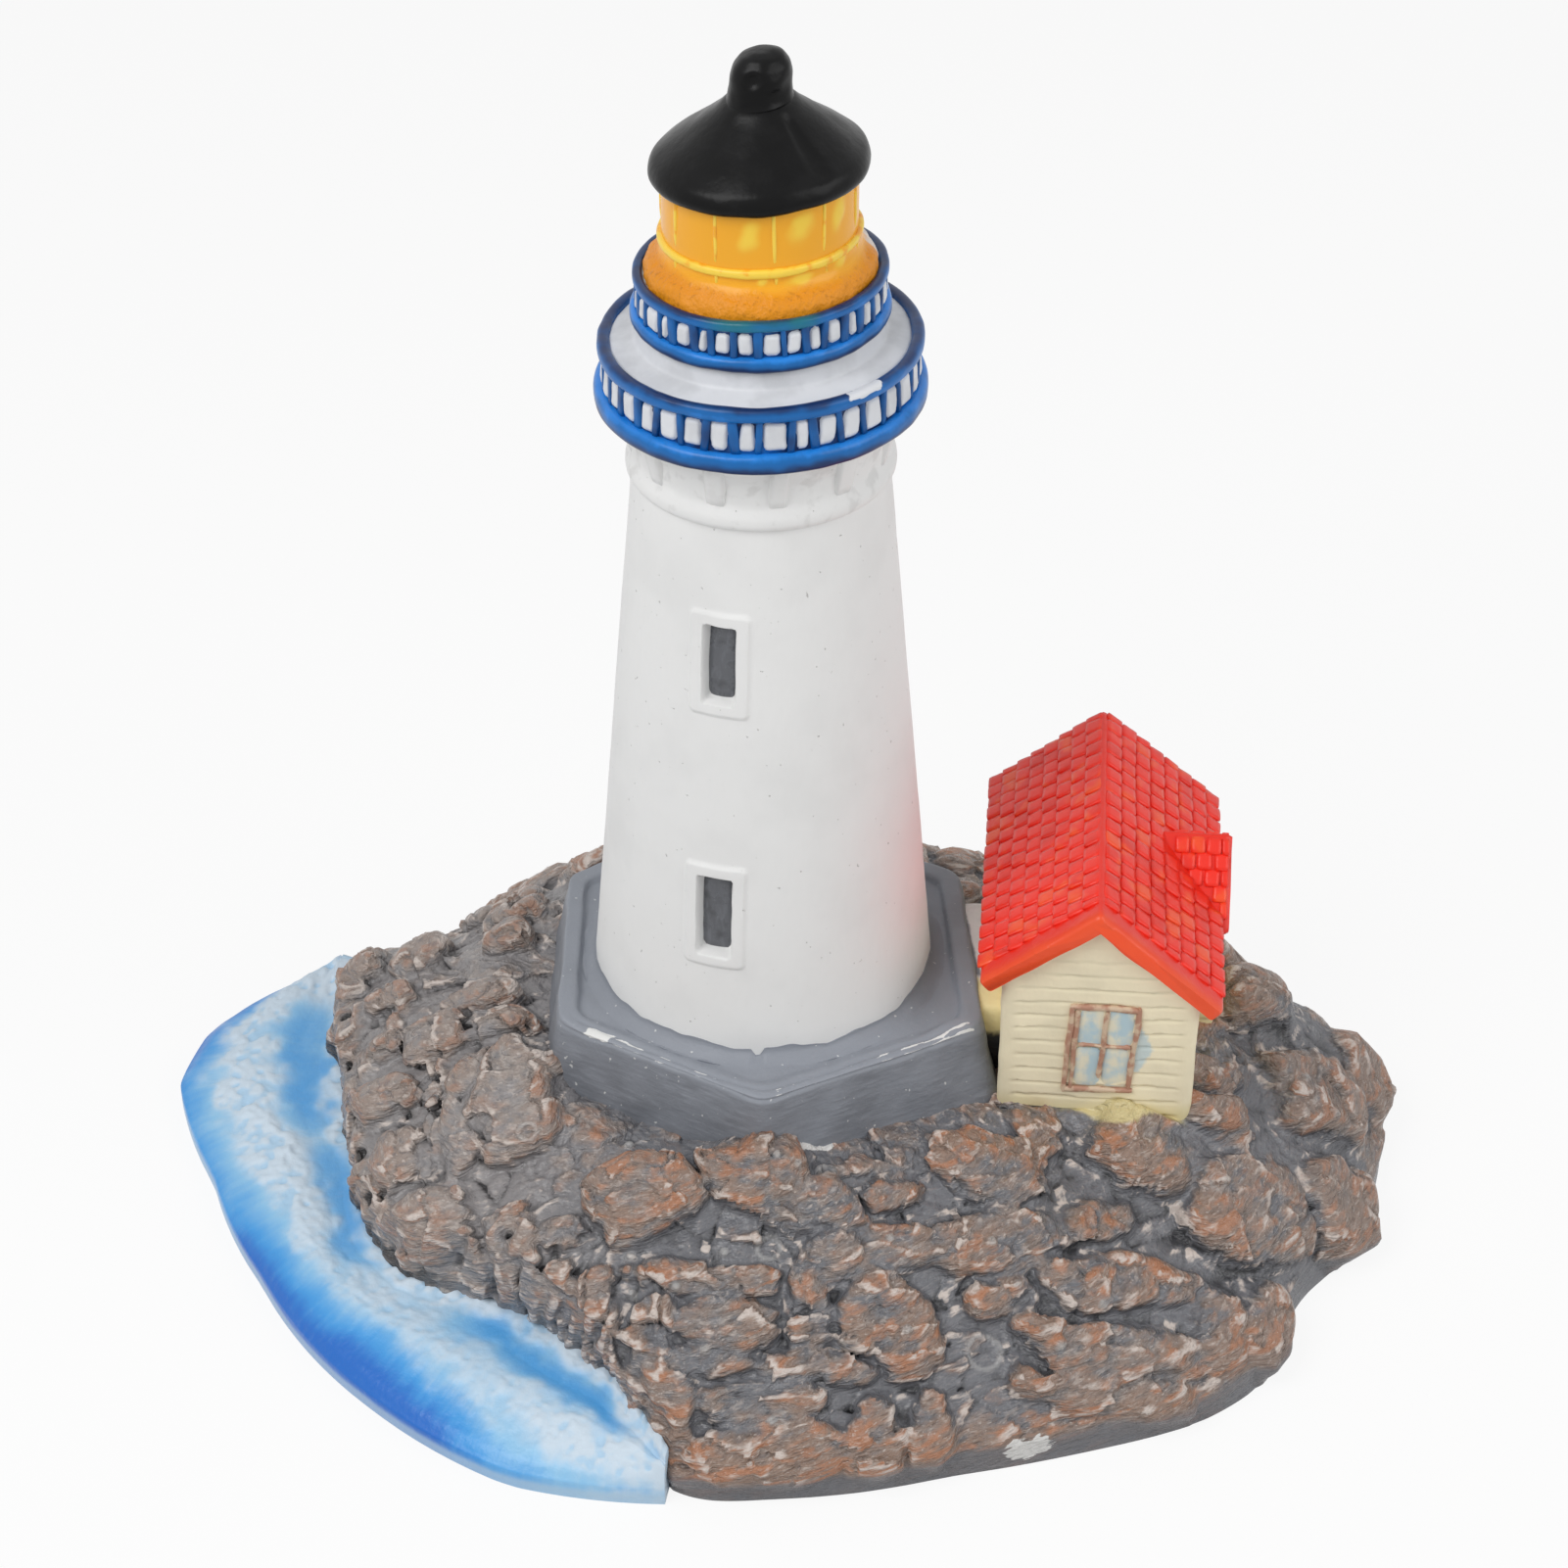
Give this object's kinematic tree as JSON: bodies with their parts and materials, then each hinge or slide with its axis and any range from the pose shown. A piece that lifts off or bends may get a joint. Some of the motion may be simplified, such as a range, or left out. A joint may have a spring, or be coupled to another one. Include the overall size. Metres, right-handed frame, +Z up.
{
  "type": "lighthouse figurine",
  "caption": "Small hand-painted lighthouse ornament: a white tapered tower with galleries and an amber lantern, beside a red-roofed cottage on a rock island edged by sea.",
  "frame": {"origin": "on the tower's upright axis, on the flat underside of the island", "axes": "+Z up the tower, -Y towards the front, where the cottage's gable window faces, and +X towards the cottage"},
  "size_m": [0.1165, 0.0891, 0.1101],
  "materials": {
    "rock_paint": "matt blue-grey paint in the joints, copper-brown dry-brushed on the stones",
    "sea_paint": "satin blue paint with white foam",
    "plinth_grey": "matt grey paint with brush streaks and small chips",
    "tower_white": "matt white paint with small casting pits",
    "window_grey": "glossy grey paint",
    "gallery_white": "satin white paint",
    "gallery_blue": "pearly metallic blue paint",
    "lantern_amber": "glossy amber paint",
    "lantern_yellow": "satin pale-yellow paint",
    "cap_black": "glossy black paint",
    "cottage_cream": "matt cream paint",
    "roof_red": "glossy red paint",
    "window_brown": "brush-painted brown",
    "window_blue": "pale-blue paint, mixed with white"
  },
  "bodies": {
    "root": {"rock_island": "rock_paint", "sea_apron": "sea_paint", "terrace_plinth": "plinth_grey", "tower_shaft": "tower_white", "tower_window_upper": "window_grey", "tower_window_lower": "window_grey", "corbel_ring": "tower_white", "lower_gallery_drum": "gallery_white", "lower_gallery_rail": "gallery_blue", "lower_gallery_balusters": "gallery_blue", "lower_gallery_handrail": "gallery_blue", "upper_gallery_drum": "gallery_white", "upper_gallery_rail": "gallery_blue", "upper_gallery_balusters": "gallery_blue", "upper_gallery_handrail": "gallery_blue", "lantern_room": "lantern_amber", "lantern_band": "lantern_yellow", "lantern_bars": "lantern_yellow", "lantern_cap": "cap_black", "cap_vent": "cap_black", "cottage_walls": "cottage_cream", "cottage_roof": "roof_red", "cottage_window_frame": "window_brown", "cottage_window_panes": "window_blue", "link_passage": "tower_white"}
  },
  "joints": []
}
